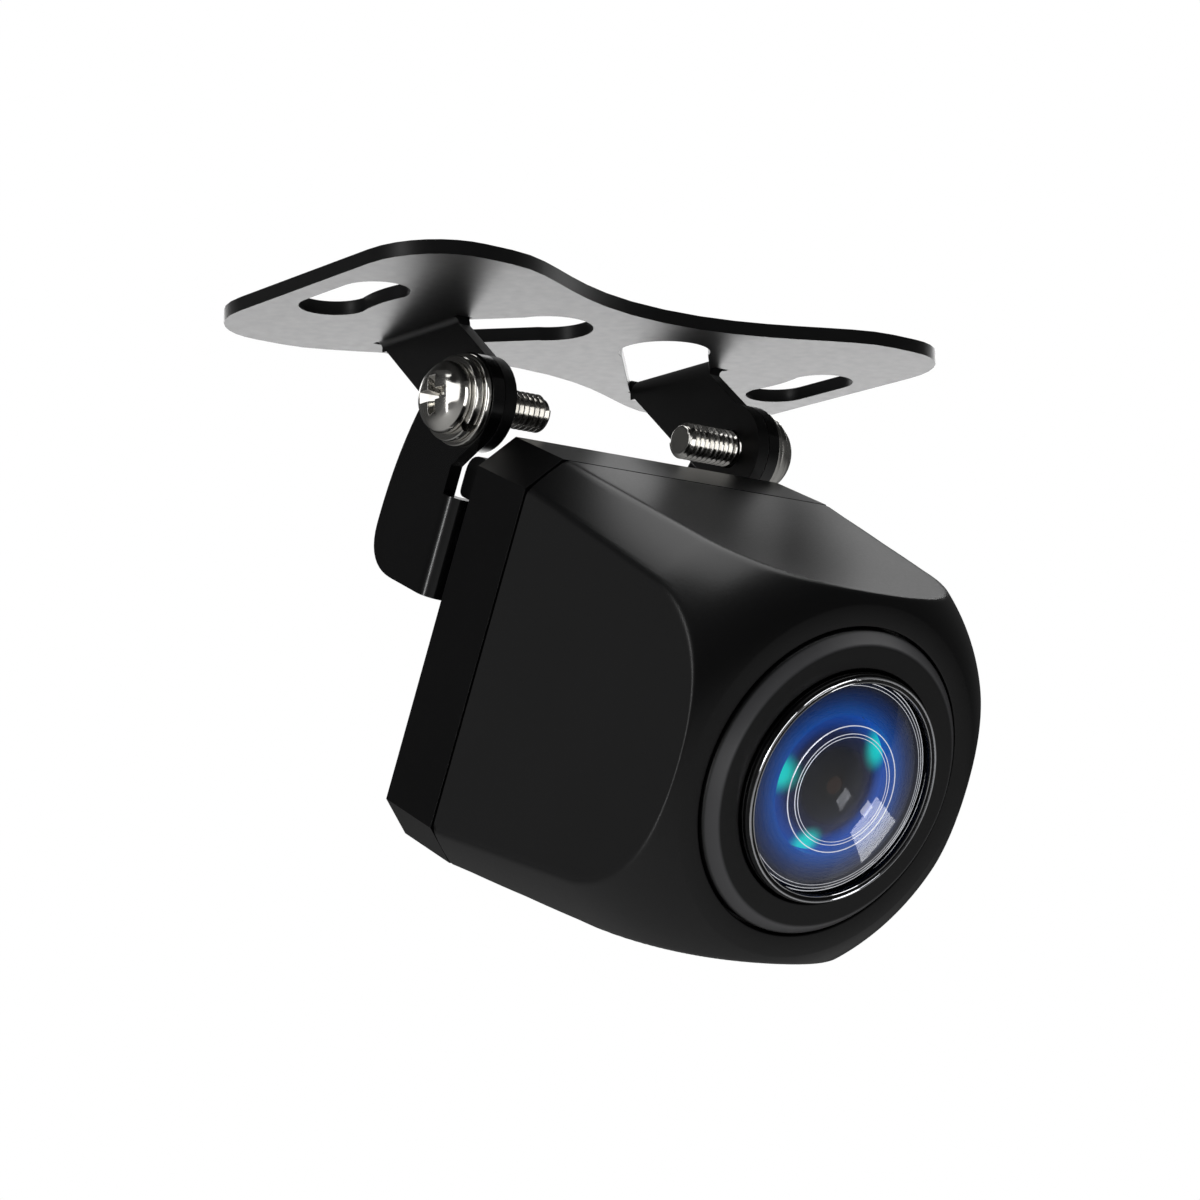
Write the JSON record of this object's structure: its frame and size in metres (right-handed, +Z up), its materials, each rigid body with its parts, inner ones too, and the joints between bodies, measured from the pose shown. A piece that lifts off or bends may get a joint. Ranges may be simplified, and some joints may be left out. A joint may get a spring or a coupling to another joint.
{
  "type": "vehicle backup camera",
  "caption": "Small cube-shaped vehicle backup camera with a round wide-angle lens, hung by a tilting yoke under a bow-tie plate with two screw slots.",
  "frame": {"origin": "centre of the mounting plate's flat top face", "axes": "+X along the plate, from slot to slot; +Z up, out of the plate's top face; the camera looks towards -Y and 25.5 degrees down"},
  "size_m": [0.0556, 0.048, 0.0516],
  "materials": {
    "black_enamel": "gloss black enamel on bent sheet steel",
    "nickel": "bright nickel plate",
    "housing_black": "fine satin black moulding",
    "bezel_black": "smooth satin black ring",
    "seal_rubber": "black silicone rubber",
    "lens_chrome": "polished bright ring",
    "lens_glass": "clear polished glass with a faint blue coating",
    "coated_glass": "blue coated optical glass",
    "blue_coating": "deep blue glossy coating",
    "black_anodised": "black anodised",
    "black_plastic": "black nylon",
    "circuit_board": "green solder mask on glass-fibre board",
    "chip_black": "black moulded package",
    "fastener_steel": "zinc plated steel",
    "brass": "plain turned brass"
  },
  "bodies": {
    "mount": {"mounting_plate": "black_enamel", "flat_washer_left": "nickel", "flat_washer_right": "nickel", "spring_washer_left": "nickel", "spring_washer_right": "nickel"},
    "camera": {"yoke": "black_enamel", "front_shell": "housing_black", "rear_shell": "housing_black", "front_bezel": "bezel_black", "shell_gasket": "seal_rubber", "lens_seal": "seal_rubber", "cable_grommet": "seal_rubber", "lens_ring": "lens_chrome", "front_lens": "lens_glass", "second_lens": "coated_glass", "third_lens": "coated_glass", "rear_lens": "coated_glass", "ir_filter": "coated_glass", "lens_baffle": "blue_coating", "lens_barrel": "black_anodised", "iris_disc": "black_anodised", "lens_holder": "black_plastic", "board_connector": "black_plastic", "cable_gland": "black_plastic", "gland_nut": "black_plastic", "sensor_board": "circuit_board", "processor_board": "circuit_board", "image_sensor": "chip_black", "processor_chip": "chip_black", "shell_screw_1": "fastener_steel", "shell_screw_2": "fastener_steel", "shell_screw_3": "fastener_steel", "shell_screw_4": "fastener_steel", "board_screw_1": "fastener_steel", "board_screw_2": "fastener_steel", "board_screw_3": "fastener_steel", "board_screw_4": "fastener_steel", "yoke_screw_left": "fastener_steel", "yoke_screw_right": "fastener_steel", "crystal": "fastener_steel", "capacitor_1": "fastener_steel", "capacitor_2": "fastener_steel", "board_standoff_1": "brass", "board_standoff_2": "brass", "board_standoff_3": "brass", "board_standoff_4": "brass"},
    "screw_left": {"hinge_screw_left": "nickel"},
    "screw_right": {"hinge_screw_right": "nickel"}
  },
  "joints": [
    {"name": "camera_tilt", "type": "hinge", "parent": "mount", "child": "camera", "pos_m": [0, -0.0028, -0.0083], "axis": [1, 0, 0], "range_deg": [-52, 55]},
    {"name": "screw_left_turn", "type": "hinge", "parent": "mount", "child": "screw_left", "pos_m": [-0.0135, -0.0028, -0.0083], "axis": [-1, 0, 0], "range_deg": [0, 180]},
    {"name": "screw_right_turn", "type": "hinge", "parent": "mount", "child": "screw_right", "pos_m": [0.0135, -0.0028, -0.0083], "axis": [1, 0, 0], "range_deg": [0, 180]}
  ]
}
